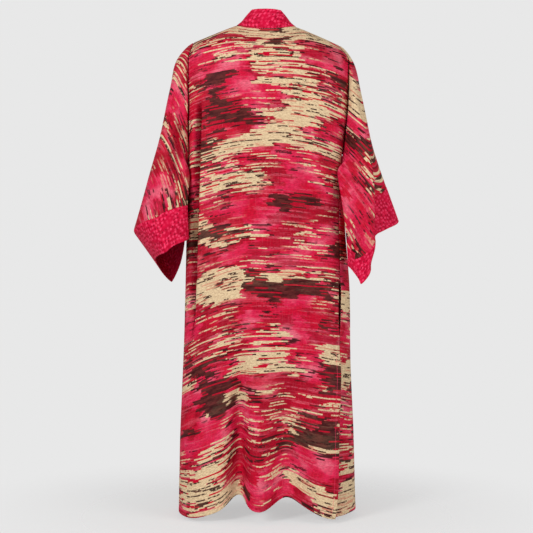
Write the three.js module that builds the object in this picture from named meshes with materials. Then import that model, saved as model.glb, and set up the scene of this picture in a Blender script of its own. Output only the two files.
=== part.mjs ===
// A long kimono robe of printed cloth, hollow and filled out as if worn: a back, two fronts, a collar band, two sleeves
// with contrast cuffs, and two pockets hung in the side seams. Both side seams end in a vent.
//
// Millimetres, +Z up. The front faces -Y and the wearer's left is +X. The origin lies between the shoulders, at the
// height where the collar meets them.
import * as THREE from "three";

// Cloth
const CLOTH = 1.5; // wall of a single cloth
const BAND = 2.4; // wall of the collar and cuffs, which are folded double
const POCKET = 2.0; // wall of a pocket, two thin cloths lying together
const SEAM = 0.5; // gap between two pieces at a seam
const ARMHOLE_LEFT = 1.9; // from the middle of the body's cloth to the end of the sleeve's
const ARMHOLE_RIGHT = 2.4;

// Neck and shoulders
const NECK_HALF = 73; // from the middle to where the collar meets the shoulder
const NECK_BACK = 58; // how far back the neck seam reaches
const NECK_SIDE_Y = 12;
const NECK_DROP = 16; // how much lower the neck seam lies at the middle of the back than at the shoulders
const SHOULDER_HALF = 182; // from the middle to the end of the shoulder seam
const SLOPE_LEFT = 21; // of the shoulder seams, in degrees
const SLOPE_RIGHT = 22.5;
const LEAN = 4; // how much lower the right shoulder is
const NECK_IN = 15; // how far inside the neck's half width the shoulder's roundness begins
const NECK_OUT = 25; // and how far outside it is whole
const SLEEVE_EASE = 40; // how smoothly a sleeve leaves the body
const COLLAR_WIDTH = 45;

// Heights down the body
const POCKET_TOP = -630;
const POCKET_LOW = -780;
const VENT_TOP = -805;
const SWING_TOP = -700; // where the folds begin to move the cloth up and down
const HEM = -1180;

// Side seams
const MOUTH_EASE = 25; // height over which a pocket's mouth opens at its upper end
const MOUTH_CLOSE = 60; // and closes at its lower end
const POCKET_GAPE = 9; // how far the back and front edges part at a pocket's mouth
const POCKET_CELLS = 5; // a pocket's width in cells of the front's grid
const POCKET_INSET = 7; // how far inside the front it hangs
const POCKET_CORNER = 0.7; // width of its lowest edge as a share of its width
const VENT_EASE = 70; // height over which the right vent opens
const VENT_LIFT = 9; // how far the back's right edge stands off the side seam's line below the vent's top
const LIFT_REACH = 34; // how far in from the edge that reaches
const VENT_SINK = 30; // how far the front's edge falls in behind it at the hem
const SINK_REACH = 42;
const VENT_GAPE = 12; // how far the edges of the left vent part at the hem

// One row for each level of the body, from the shoulder blades down. Each level is a ring of the cloth's own thread:
// z is its height at the middle of the back, and dropLeft and dropRight are how much lower it hangs at the sides.
// left and right are half widths, yBack, ySide and yFront the depths, and square is below 1 for a boxier ring. Angles
// are counted from the middle of the back: seamLeft and seamRight are the side seams, or the back edges of the armholes,
// whose front edges are at holeLeft and holeRight. lap is how far the back reaches over the front at the right vent, and
// neckX is where a front meets the collar band.
const LEVELS = [
  { name: "yoke", z: -60, dropLeft: 30, dropRight: 30, left: 217, right: 217, yBack: 84, ySide: 5, yFront: -76,
    square: 0.85, seamLeft: 62, seamRight: 70, holeLeft: 118, holeRight: 114, lap: 0, neckX: 72 },
  { name: "blades", z: -165, dropLeft: 40, dropRight: 36, left: 216, right: 215, yBack: 106, ySide: 5, yFront: -106,
    square: 0.85, seamLeft: 62, seamRight: 70, holeLeft: 118, holeRight: 114, lap: 0, neckX: 67 },
  { name: "chest", z: -280, dropLeft: 42, dropRight: 36, left: 201, right: 201, yBack: 104, ySide: 4, yFront: -120,
    square: 0.85, seamLeft: 76, seamRight: 72, holeLeft: 110, holeRight: 106, lap: 0, neckX: 59 },
  { name: "armpit", z: -345, dropLeft: 42, dropRight: 30, left: 197, right: 195, yBack: 100, ySide: 3, yFront: -118,
    square: 0.85, seamLeft: 97, seamRight: 70, holeLeft: 97, holeRight: 70, lap: 0, neckX: 54 },
  { name: "waist", z: -480, dropLeft: 40, dropRight: 20, left: 198, right: 196, yBack: 92, ySide: 2, yFront: -102,
    square: 0.85, seamLeft: 98, seamRight: 64, holeLeft: 98, holeRight: 64, lap: 0, neckX: 50 },
  { name: "hip", z: -625, dropLeft: 50, dropRight: 18, left: 202, right: 206, yBack: 102, ySide: 0, yFront: -110,
    square: 0.84, seamLeft: 99, seamRight: 59.5, holeLeft: 99, holeRight: 59.5, lap: 0, neckX: 50 },
  { name: "thigh", z: -800, dropLeft: 66, dropRight: 24, left: 207, right: 209, yBack: 112, ySide: 0, yFront: -118,
    square: 0.84, seamLeft: 99, seamRight: 55.5, holeLeft: 99, holeRight: 55.5, lap: 0, neckX: 51 },
  { name: "knee", z: -985, dropLeft: 62, dropRight: 30, left: 207, right: 214, yBack: 120, ySide: 0, yFront: -124,
    square: 0.84, seamLeft: 99, seamRight: 43, holeLeft: 99, holeRight: 43, lap: 3, neckX: 54 },
  { name: "hem", z: -1176, dropLeft: 24, dropRight: 22, left: 208, right: 218, yBack: 130, ySide: 0, yFront: -130,
    square: 0.84, seamLeft: 99, seamRight: 34, holeLeft: 99, holeRight: 34, lap: 5, neckX: 58 },
];
const ARMPIT = 1 + LEVELS.findIndex((level) => level.name === "armpit");
const LAST = LEVELS.length;

// One row for each fold of the body: where its line stands at its upper and lower end, its height off the cloth, below
// 0 for a trough, and its half width. It grows from nothing at its upper end over grow, and dies over fade if it has one.
const BACK_FOLDS = [
  { name: "flute_left", x: [168, 160], z: [-760, HEM], height: 24, half: 49, grow: 420 },
  { name: "valley_left_inner", x: [60, 62], z: [-640, HEM], height: -30, half: 17, grow: 520 },
  { name: "valley_left_outer", x: [70, 84], z: [-640, HEM], height: -30, half: 17, grow: 520 },
  { name: "flute_middle", x: [22, 16], z: [-760, HEM], height: 15, half: 30, grow: 400 },
  { name: "valley_middle", x: [-44, -52], z: [-680, HEM], height: -30, half: 37, grow: 480 },
  { name: "flute_right", x: [-128, -146], z: [-740, HEM], height: 28, half: 46, grow: 420 },
  { name: "tuck_left", x: [167, 169], z: [-230, -800], height: -17, half: 8, grow: 120, fade: 260 },
  { name: "soft_right", x: [-92, -98], z: [-90, -640], height: -5, half: 16, grow: 120, fade: 240 },
];
const FRONT_FOLDS = [
  { name: "side_flute_left", x: [176, 172], z: [-780, HEM], height: 18, half: 30, grow: 400 },
  { name: "valley_left", x: [120, 126], z: [-560, HEM], height: -24, half: 26, grow: 560 },
  { name: "flute_left", x: [84, 88], z: [-600, HEM], height: 12, half: 22, grow: 560 },
  { name: "flute_right", x: [-84, -90], z: [-620, HEM], height: 13, half: 22, grow: 520 },
  { name: "valley_right", x: [-122, -130], z: [-560, HEM], height: -25, half: 27, grow: 560 },
];
const HEM_SWING = 0.7; // how far a fold of 1 mm lowers the hem at its own line
const TURN = 25; // depth to each side of the middle over which the back's folds give way to the front's

// One row for each ring of a sleeve: its outer, back, inner and front points as [out from the middle, y, z]. sharp is
// above 1 where the ring comes to points there, and dent, where there is one, moves it halfway from outer to back. The
// last two rings are the cuff's seam and its hem.
const SLEEVE_LEFT = [
  { outer: [222, 0, -86], back: [212, 66, -205], inner: [204, -8, -389], front: [212, -66, -205], sharp: 1 },
  { outer: [240, 0, -160], back: [224, 78, -255], inner: [206, -6, -392], front: [224, -78, -255], sharp: 1 },
  { outer: [264, 0, -276], back: [238, 92, -345], inner: [206, -4, -412], front: [240, -90, -372], sharp: 1 },
  { outer: [295, 4, -388], back: [252, 100, -408], inner: [205, 4, -432], front: [256, -98, -462], sharp: 1.05 },
  { outer: [330, 8, -511], back: [264, 102, -471], inner: [204, 14, -452], front: [262, -100, -552], sharp: 1.25 },
  { outer: [277, 0, -583], back: [240, 116, -556], inner: [205, 6, -530], front: [237, -112, -640], sharp: 1.4 },
];
const SLEEVE_RIGHT = [
  { outer: [214, 0, -90], back: [212, 70, -215], inner: [203, 10, -379], front: [211, -62, -205], sharp: 1 },
  { outer: [235, 0, -170], back: [222, 82, -262], inner: [205, 14, -385], front: [222, -76, -258], sharp: 1 },
  { outer: [259, -4, -276], back: [240, 98, -378], inner: [209, 34, -428], front: [236, -86, -350], sharp: 1,
    dent: [-3, -6, 6] },
  { outer: [279, -10, -340], back: [242, 104, -470], inner: [211, 48, -474], front: [246, -92, -402], sharp: 1.05,
    dent: [-10, -14, 20] },
  { outer: [300, -14, -400], back: [244, 102, -572], inner: [209, 56, -512], front: [254, -94, -448], sharp: 1.2,
    dent: [-22, -12, 30] },
  { outer: [332, -20, -487], back: [247, 100, -640], inner: [203, 60, -588], front: [262, -104, -540], sharp: 1.2,
    dent: [-27, 4, 30] },
];
// One row for each fold of a sleeve: its angle round the sleeve from the outer line towards the back, its half width in
// degrees, how far it moves the cloth as [out, y, z], and the rings between which it grows and then fades.
const LEFT_SLEEVE_FOLDS = [
  { name: "shoulder_crease", angle: 62, half: 9, move: [-4, -8, 0], from: 0.25, to: 1.4, fade: 3.2 },
  { name: "under_crease", angle: 118, half: 10, move: [2, -9, 0], from: 0.6, to: 2.2, fade: 5.4 },
  { name: "inner_roll", angle: 140, half: 22, move: [-22, 8, 0], from: 1, to: 2.6 },
  { name: "seam_sag", angle: 80, half: 44, move: [0, 0, -10], from: 3.5, to: 5 },
  { name: "front_point", angle: 270, half: 40, move: [8, 0, 0], from: 5, to: 6 },
];
const RIGHT_SLEEVE_FOLDS = [
  { name: "lobe_edge", angle: 78, half: 11, move: [14, 6, 4], from: 1.3, to: 4 },
  { name: "lobe_inner_edge", angle: 94, half: 16, move: [-28, -2, -10], from: 4, to: 5, fade: 6.5 },
  { name: "lobe_cuff_edge", angle: 70, half: 14, move: [10, 0, 2], from: 4, to: 5 },
  { name: "lobe_point", angle: 76, half: 20, move: [-22, 0, 0], from: 5, to: 6 },
  { name: "behind_lobe", angle: 134, half: 28, move: [-3, -22, 0], from: 3.8, to: 5 },
  { name: "inner_rise", angle: 138, half: 24, move: [0, 0, 22], from: 5, to: 6 },
  { name: "valley", angle: 48, half: 10, move: [-21, -8, 2], from: 1.5, to: 4 },
  { name: "valley_below", angle: 56, half: 12, move: [-8, 0, 0], from: 4, to: 5 },
  { name: "inner_roll", angle: 148, half: 20, move: [-36, 6, 0], from: 0.8, to: 2.6, fade: 7 },
];

// The free edge of the collar round the back of the neck. around is the angle from the middle of the back.
const COLLAR_TOP = [
  { around: 0, x: 0, y: 51, z: 33.5 },
  { around: 24, x: 20, y: 49, z: 33.5 },
  { around: 42, x: 35, y: 43, z: 33 },
  { around: 58, x: 44, y: 32, z: 26 },
  { around: 74, x: 53, y: 18, z: 18 },
  { around: 90, x: 60, y: 2, z: 11.5 },
];
// The free edge of the collar down a front: how far it lies from the neck seam towards the middle, forward and up.
const COLLAR_FRONT = [
  { name: "yoke", inward: 34, forward: 18, up: 22 },
  { name: "blades", inward: 43, forward: 9, up: 9 },
  { name: "chest", inward: 44.5, forward: 4, up: 3 },
];

// How finely each piece is divided
const BACK_GRID = { across: 40, down: 32 };
const FRONT_GRID = { across: 15, down: 27 };
const SLEEVE_GRID = { around: 32, down: 12, cuff: 2 };
const COLLAR_GRID = { neck: 12, down: 27, across: 2 };

const CRIMSON = 0xc41f45;
const ROSE = 0xd02a52;

const { degToRad, lerp, smoothstep } = THREE.MathUtils;
const vec = (x, y, z) => new THREE.Vector3(x, y, z);

// The point of a level's ring at an angle from the middle of the back: 90 is the side and 180 the middle of the front.
function ringPoint(level, side, degrees) {
  const a = degToRad(degrees);
  const out = Math.sin(a) ** level.square * (side > 0 ? level.left : level.right);
  const reach = Math.abs(Math.cos(a)) ** level.square;
  const y = lerp(level.ySide, degrees < 90 ? level.yBack : level.yFront, reach);
  const drop = side > 0 ? level.dropLeft : level.dropRight;
  return vec(side * out, y, level.z - drop * Math.sin(a) ** 2);
}

// How much lower the neck lies on a side, at an angle from the middle of the back.
const lean = (side, degrees) => (side > 0 ? 0 : LEAN * Math.sin(degToRad(degrees)) ** 2);

// The shoulder seam, from its outer end at 0 to the neck at 1.
function shoulderPoint(side, t) {
  const x = lerp(SHOULDER_HALF, NECK_HALF, t);
  const slope = Math.tan(degToRad(side > 0 ? SLOPE_LEFT : SLOPE_RIGHT));
  return vec(side * x, NECK_SIDE_Y * t, -lean(side, 90) - (x - NECK_HALF) * slope);
}

// The neck seam round the back, at an angle from the middle of the back.
function neckPoint(side, degrees) {
  const a = degToRad(degrees);
  const z = -NECK_DROP * Math.cos(a) ** 2 - lean(side, degrees);
  return vec(side * NECK_HALF * Math.sin(a), lerp(NECK_SIDE_Y, NECK_BACK, Math.cos(a)), z);
}

// The same curve with its parameter measured along its length.
function evenly(curve, steps = 60) {
  const points = Array.from({ length: steps + 1 }, (_, i) => curve(i / steps));
  const along = [0];
  for (let i = 1; i <= steps; i++) along.push(along[i - 1] + points[i].distanceTo(points[i - 1]));
  return (t) => {
    const want = t * along[steps];
    let i = 1;
    while (i < steps && along[i] < want) i++;
    const share = (want - along[i - 1]) / (along[i] - along[i - 1] || 1);
    return points[i - 1].clone().lerp(points[i], share);
  };
}

// The angle at which a level's ring stands at x from the middle, on the front.
function frontAngle(level, side) {
  const half = side > 0 ? level.left : level.right;
  return 180 - THREE.MathUtils.radToDeg(Math.asin((level.neckX / half) ** (1 / level.square)));
}

// A value between b and c on a smooth curve through a, b, c and d.
const glide = (a, b, c, d, t) =>
  b + (t / 2) * (c - a + t * (2 * a - 5 * b + 4 * c - d + t * (3 * (b - c) + d - a)));

// The level at s, which is 1 at the first row of the table and LAST at the hem.
function levelAt(s) {
  const at = (i) => LEVELS[Math.min(Math.max(i, 1), LAST) - 1];
  const i = Math.min(Math.floor(s), LAST - 1);
  const t = s - i;
  const level = {};
  for (const name of Object.keys(LEVELS[0]).slice(1)) {
    const straight = name.startsWith("hole") || name.startsWith("seam") || name === "lap";
    const [b, c] = [at(i)[name], at(i + 1)[name]];
    level[name] = straight ? lerp(b, c, t) : glide(at(i - 1)[name], b, c, at(i + 2)[name], t);
  }
  return level;
}

// The edge that starts the back: half of the neck seam and the shoulder seam, from the middle outwards.
const backTop = (side) => (t) => (t < 0.5 ? neckPoint(side, 180 * t) : shoulderPoint(side, 2 - 2 * t));

// A panel's ring on one side at a level, as a curve from 0 to 1: the back's runs from the middle to the side, and a
// front's from the side to the collar band.
function panelRing(part, side, s) {
  const level = levelAt(s);
  const seam = side > 0 ? level.seamLeft : level.seamRight;
  if (part === "back") {
    const end = seam + (side < 0 ? level.lap : 0);
    return evenly((t) => ringPoint(level, side, t * end));
  }
  const start = side > 0 ? level.holeLeft : level.holeRight;
  return evenly((t) => ringPoint(level, side, lerp(start, frontAngle(level, side), t)));
}
const panelTop = (part, side) => evenly(part === "back" ? backTop(side) : (t) => shoulderPoint(side, t));

// A point between b and c on a smooth curve through four points of any spacing.
function glidePoint(a, b, c, d, t) {
  const knot = (p, q) => Math.sqrt(p.distanceTo(q)) + 1e-6;
  const k1 = knot(a, b);
  const k2 = k1 + knot(b, c);
  const k3 = k2 + knot(c, d);
  const at = lerp(k1, k2, t);
  const mix = (p, q, from, to) => p.clone().lerp(q, (at - from) / (to - from));
  const ab = mix(a, b, 0, k1);
  const bc = mix(b, c, k1, k2);
  const cd = mix(c, d, k2, k3);
  return mix(mix(ab, bc, 0, k2), mix(bc, cd, k1, k3), k1, k2);
}

// A panel's row at s, without its folds. The first stretch, from 0 to 1, joins the top edge to the first ring, and runs
// level over the shoulder seam.
function panelRow(part, side, s) {
  if (s >= 1) return panelRing(part, side, s);
  const [top, first, second] = [panelTop(part, side), panelRing(part, side, 1), panelRing(part, side, 2)];
  const facing = part === "back" ? 1 : -1;
  return (t) => {
    const [edge, next, after] = [top(t), first(t), second(t)];
    const straight = edge.clone().multiplyScalar(2).sub(next);
    const over = vec(next.x, 2 * edge.y - next.y, next.z);
    const shoulder = smoothstep(Math.abs(edge.x), NECK_HALF - NECK_IN, NECK_HALF + NECK_OUT);
    edge.y += facing * SEAM * smoothstep(Math.abs(edge.x), NECK_HALF - NECK_IN, NECK_HALF);
    return glidePoint(straight.lerp(over, shoulder), edge, next, after, s);
  };
}

// A point at s along a smooth curve through the points. before stands ahead of the first one.
function through(points, s, before) {
  const last = points.length - 1;
  const i = Math.min(Math.floor(s), last - 1);
  const past = points[last].clone().multiplyScalar(2).sub(points[last - 1]);
  return glidePoint(i ? points[i - 1] : before, points[i], points[i + 1], points[i + 2] || past, s - i);
}

// How far some folds lift the cloth at a point.
function foldSum(folds, p) {
  return folds.reduce((sum, fold) => {
    const down = (p.z - fold.z[0]) / (fold.z[1] - fold.z[0]);
    const x = lerp(fold.x[0], fold.x[1], THREE.MathUtils.clamp(down, 0, 1));
    const grown = smoothstep(fold.z[0] - p.z, 0, fold.grow);
    const left = fold.fade ? 1 - smoothstep(fold.z[1] + fold.fade - p.z, 0, fold.fade) : 1;
    return sum + fold.height * grown * left * Math.exp(-(((p.x - x) / fold.half) ** 2));
  }, 0);
}
const lift = (p) => lerp(foldSum(FRONT_FOLDS, p), foldSum(BACK_FOLDS, p), smoothstep(p.y, -TURN, TURN));

// How far they lower it.
const swing = (p) => HEM_SWING * lift(p) * smoothstep(-p.z, -SWING_TOP, -HEM);

// The way out from each point of a grid. Its rows run down the cloth, and closed joins the last column to the first.
function normals({ rows, closed }) {
  const wide = rows[0].length;
  const at = (j, i) => rows[Math.min(Math.max(j, 0), rows.length - 1)][
    closed ? (i + wide) % wide : Math.min(Math.max(i, 0), wide - 1)];
  return rows.map((row, j) => row.map((_, i) => {
    const alongRow = at(j, i + 1).clone().sub(at(j, i - 1));
    const downward = at(j + 1, i).clone().sub(at(j - 1, i));
    return alongRow.cross(downward).normalize();
  }));
}

// The grid moved outwards, by a distance or by a function of the point and its row and column.
function moved(grid, distance) {
  const n = normals(grid);
  const rows = grid.rows.map((row, j) => row.map((p, i) =>
    p.clone().addScaledVector(n[j][i], typeof distance === "function" ? distance(p, j, i) : distance)));
  return { rows, closed: grid.closed };
}

// A closed wall of a given thickness with the grid as its middle surface.
function wall(grid, thickness) {
  const [outside, inside] = [moved(grid, thickness / 2), moved(grid, -thickness / 2)];
  const tall = grid.rows.length;
  const wide = grid.rows[0].length;
  const positions = [...outside.rows.flat(), ...inside.rows.flat()].flatMap((p) => [p.x, p.y, p.z]);
  const index = [];
  const at = (layer, j, i) => layer * tall * wide + j * wide + (i % wide);
  const quad = (a, b, c, d) => index.push(a, c, b, a, d, c);
  const cells = grid.closed ? wide : wide - 1;
  for (let j = 0; j < tall - 1; j++) {
    for (let i = 0; i < cells; i++) {
      quad(at(0, j, i), at(0, j + 1, i), at(0, j + 1, i + 1), at(0, j, i + 1));
      quad(at(1, j, i), at(1, j, i + 1), at(1, j + 1, i + 1), at(1, j + 1, i));
    }
    if (!grid.closed) {
      quad(at(0, j, 0), at(1, j, 0), at(1, j + 1, 0), at(0, j + 1, 0));
      quad(at(0, j, wide - 1), at(0, j + 1, wide - 1), at(1, j + 1, wide - 1), at(1, j, wide - 1));
    }
  }
  for (let i = 0; i < cells; i++) {
    quad(at(0, 0, i), at(0, 0, i + 1), at(1, 0, i + 1), at(1, 0, i));
    quad(at(0, tall - 1, i), at(1, tall - 1, i), at(1, tall - 1, i + 1), at(0, tall - 1, i + 1));
  }
  const geometry = new THREE.BufferGeometry();
  geometry.setAttribute("position", new THREE.Float32BufferAttribute(positions, 3));
  geometry.setIndex(index);
  geometry.computeVertexNormals();
  return geometry;
}

// The cloth of a body panel with its folds, which also swing the hem down or up.
function foldedGrid(rows) {
  const grid = { rows, closed: false };
  const folded = moved(grid, (p) => lift(p));
  folded.rows.forEach((row, j) => row.forEach((p, i) => {
    p.z -= swing(rows[j][i]);
  }));
  return folded;
}

// Moves the end of a row towards its inside, to leave a gap at the seam. The gap is wide where the pocket opens, and
// down the left vent.
function drawBack(p, inner) {
  const vent = p.x > 0 ? VENT_GAPE * smoothstep(-p.z, -VENT_TOP, -HEM) : 0;
  const opened = smoothstep(-p.z, -POCKET_TOP, MOUTH_EASE - POCKET_TOP);
  const mouth = POCKET_GAPE * opened * (1 - smoothstep(-p.z, -POCKET_LOW - MOUTH_CLOSE, -POCKET_LOW));
  p.addScaledVector(inner.clone().sub(p).normalize(), SEAM + (mouth + vent) / 2);
}

function backGrid() {
  const { across, down } = BACK_GRID;
  const half = across / 2;
  const rows = Array.from({ length: down + 1 }, (_, j) => {
    const [right, left] = [-1, 1].map((side) => panelRow("back", side, (j / down) * LAST));
    return Array.from({ length: across + 1 }, (_, i) => (i < half ? right(1 - i / half) : left(i / half - 1)));
  });
  const grid = foldedGrid(rows);
  const n = normals(grid);
  grid.rows.forEach((row, j) => {
    const edge = row[0].clone();
    row.forEach((p, i) => {
      const open = smoothstep(-p.z, -VENT_TOP, VENT_EASE - VENT_TOP);
      p.addScaledVector(n[j][i], VENT_LIFT * open * Math.exp(-((p.distanceTo(edge) / LIFT_REACH) ** 2)));
    });
    drawBack(row[0], row[2]);
    drawBack(row[across], row[across - 2]);
  });
  return grid;
}

function frontGrid(side) {
  const { across, down } = FRONT_GRID;
  const rows = Array.from({ length: down + 1 }, (_, j) => {
    const row = panelRow("front", side, (j / down) * LAST);
    // Columns run from the wearer's right to the left as seen from outside, so that the outside faces out.
    return Array.from({ length: across + 1 }, (_, i) => row(side > 0 ? i / across : 1 - i / across));
  });
  const grid = foldedGrid(rows);
  const n = normals(grid);
  grid.rows.forEach((row, j) => {
    const end = side > 0 ? 0 : across;
    const edge = row[end].clone();
    const open = side > 0 ? 0 : smoothstep(-edge.z, -VENT_TOP, -HEM);
    row.forEach((p, i) => {
      p.addScaledVector(n[j][i], -VENT_SINK * open * Math.exp(-((p.distanceTo(edge) / SINK_REACH) ** 2)));
    });
    drawBack(row[end], row[Math.abs(end - 2)]);
  });
  return grid;
}

// A sleeve's ring at an angle from its outer line towards the back.
function sleevePoint(ring, side, degrees) {
  const corner = (name) => vec(side * ring[name][0], ring[name][1], ring[name][2]);
  const corners = ["outer", "back", "inner", "front"].map(corner);
  const middle = corners.reduce((sum, p) => sum.addScaledVector(p, 0.25), vec(0, 0, 0));
  const quarter = Math.floor(degrees / 90) % 4;
  const t = degToRad(degrees % 90);
  return middle.clone()
    .addScaledVector(corners[quarter].sub(middle), Math.cos(t) ** ring.sharp)
    .addScaledVector(corners[(quarter + 1) % 4].sub(middle), Math.sin(t) ** ring.sharp)
    .addScaledVector(ring.dent ? corner("dent") : vec(0, 0, 0), quarter ? 0 : Math.sin(2 * t) ** 2);
}

// The armhole, at the same angles: down the back's edge to the armpit and up the front's.
function armholePoint(side, degrees) {
  const behind = degrees <= 180;
  const s = (ARMPIT * (behind ? degrees : 360 - degrees)) / 180;
  const p = behind ? panelRow("back", side, s)(1) : panelRow("front", side, s)(0);
  p.x += side * (side > 0 ? ARMHOLE_LEFT : ARMHOLE_RIGHT);
  return p;
}

// How far a sleeve's folds move the cloth, at an angle and at s down its rings, which count from 0 at the armhole.
function sleeveMove(folds, side, degrees, s) {
  const sum = vec(0, 0, 0);
  for (const fold of folds) {
    const away = ((degrees - fold.angle + 540) % 360) - 180;
    const grown = smoothstep(s, fold.from, fold.to) * (fold.fade ? 1 - smoothstep(s, fold.to, fold.fade) : 1);
    const [x, y, z] = fold.move;
    sum.addScaledVector(vec(side * x, y, z), grown * Math.exp(-((away / fold.half) ** 2)));
  }
  return sum;
}

// A sleeve with its cuff as one tube: rows for the sleeve, and below them rows for the cuff.
function armRows(side, rings, folds) {
  const { around, down, cuff } = SLEEVE_GRID;
  const angles = Array.from({ length: around }, (_, i) => (360 * (side > 0 ? around - i : i) / around) % 360);
  const main = rings.length - 1;
  const at = (j) => (j <= down ? (j / down) * main : main + (j - down) / cuff);
  const columns = angles.map((degrees) => {
    const points = [armholePoint(side, degrees), ...rings.map((ring) => sleevePoint(ring, side, degrees))];
    const before = points[0].clone().sub(vec(side * SLEEVE_EASE, 0, 0));
    return { points: points.slice(0, -1), before, hem: points.at(-1), degrees };
  });
  return Array.from({ length: down + cuff + 1 }, (_, j) => columns.map(({ points, before, hem, degrees }) => {
    const p = j <= down ? through(points, at(j), before) : points.at(-1).clone().lerp(hem, at(j) - main);
    return p.add(sleeveMove(folds, side, degrees, at(j)));
  }));
}
function sleeveGrid(arm) {
  return { rows: arm.slice(0, SLEEVE_GRID.down + 1), closed: true };
}
// The cuff starts a little below the sleeve's edge, square to the seam.
function cuffGrid(arm) {
  const rows = arm.slice(SLEEVE_GRID.down).map((row) => row.map((p) => p.clone()));
  const edge = arm[SLEEVE_GRID.down];
  rows[0].forEach((p, i) => {
    const along = edge[(i + 1) % edge.length].clone().sub(edge.at(i - 1)).normalize();
    const down = rows[1][i].clone().sub(p);
    p.addScaledVector(down.addScaledVector(along, -down.dot(along)).normalize(), SEAM + BAND / 2);
  });
  return { rows, closed: true };
}

// A column of the collar: its seam edge and its free edge. where runs from 0 at the middle of the back to 1 where the
// neck meets the shoulder, and on to 2 down the front.
function collarColumn(side, where) {
  if (where <= 1) {
    const degrees = 90 * where;
    const i = Math.max(1, COLLAR_TOP.findIndex((row) => row.around >= degrees - 1e-6));
    const [a, b] = [COLLAR_TOP[i - 1], COLLAR_TOP[i]];
    const t = (degrees - a.around) / (b.around - a.around);
    const free = vec(side * lerp(a.x, b.x, t), lerp(a.y, b.y, t), lerp(a.z, b.z, t) - lean(side, degrees));
    return { seam: neckPoint(side, degrees), free };
  }
  const s = (where - 1) * LAST;
  const seam = panelRow("front", side, s)(1);
  const last = COLLAR_TOP.at(-1);
  const start = { inward: NECK_HALF - last.x, forward: NECK_SIDE_Y - last.y, up: last.z };
  const rows = [start, ...COLLAR_FRONT, { inward: COLLAR_WIDTH, forward: 2, up: 0 }];
  const i = Math.min(Math.floor(s), rows.length - 2);
  const t = smoothstep(s - i, 0, 1);
  const part = (name) => lerp(rows[i][name], rows[i + 1][name], t);
  const [out, down] = [lift(seam), swing(seam)];
  seam.y -= out;
  seam.z -= down;
  return { seam, free: seam.clone().add(vec(-side * part("inward"), -part("forward"), part("up"))) };
}

function collarGrid() {
  const { neck, down, across } = COLLAR_GRID;
  const half = [];
  for (let i = 0; i <= neck; i++) half.push(i / neck);
  for (let i = 1; i <= down; i++) half.push(1 + i / down);
  const columns = [
    ...half.slice(1).reverse().map((where) => collarColumn(-1, where)),
    ...half.map((where) => collarColumn(1, where)),
  ];
  const start = (2 * SEAM + BAND / 2) / COLLAR_WIDTH;
  const rows = Array.from({ length: across + 1 }, (_, j) =>
    columns.map(({ seam, free }) => free.clone().lerp(seam, lerp(0, 1 - start, j / across))));
  return { rows, closed: false };
}

// A pocket's bag, which hangs inside a front from the side seam, made from the front's own points. It is sewn in with the
// seam, and its lowest edge is shorter.
function pocketGrid(side, front) {
  const rowAt = (z) => front.rows.findIndex((row) => row[side > 0 ? 0 : row.length - 1].z < z);
  const [first, last] = [rowAt(POCKET_TOP) - 1, rowAt(POCKET_LOW) + 1];
  const rows = front.rows.slice(first, last + 1).map((row, j, all) => {
    const cells = side > 0 ? row : [...row].reverse();
    const stretch = j === all.length - 1 ? POCKET_CORNER : 1;
    const points = Array.from({ length: POCKET_CELLS + 1 }, (_, i) => {
      const at = i * stretch;
      return cells[Math.floor(at)].clone().lerp(cells[Math.floor(at) + 1], at % 1);
    });
    return side > 0 ? points : points.reverse();
  });
  const seat = (CLOTH + POCKET) / 2 + SEAM;
  return moved({ rows, closed: false }, (_, j, i) => {
    const away = (side > 0 ? i : POCKET_CELLS - i) / POCKET_CELLS;
    return -lerp(seat, POCKET_INSET, smoothstep(away, 0, 0.6));
  });
}

function piece(name, grid, thickness, color) {
  const material = new THREE.MeshStandardMaterial({ color, roughness: 0.62, metalness: 0 });
  const mesh = new THREE.Mesh(wall(grid, thickness), material);
  mesh.name = name;
  return mesh;
}

const armLeft = armRows(1, SLEEVE_LEFT, LEFT_SLEEVE_FOLDS);
const armRight = armRows(-1, SLEEVE_RIGHT, RIGHT_SLEEVE_FOLDS);
const frontLeft = frontGrid(1);
const frontRight = frontGrid(-1);
const robe = new THREE.Group();
robe.add(
  piece("back", backGrid(), CLOTH, CRIMSON),
  piece("front_left", frontLeft, CLOTH, CRIMSON),
  piece("front_right", frontRight, CLOTH, CRIMSON),
  piece("collar_band", collarGrid(), BAND, ROSE),
  piece("sleeve_left", sleeveGrid(armLeft), CLOTH, CRIMSON),
  piece("sleeve_right", sleeveGrid(armRight), CLOTH, CRIMSON),
  piece("cuff_left", cuffGrid(armLeft), BAND, ROSE),
  piece("cuff_right", cuffGrid(armRight), BAND, ROSE),
  piece("pocket_left", pocketGrid(1, frontLeft), POCKET, CRIMSON),
  piece("pocket_right", pocketGrid(-1, frontRight), POCKET, CRIMSON),
);

export default robe;
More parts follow.
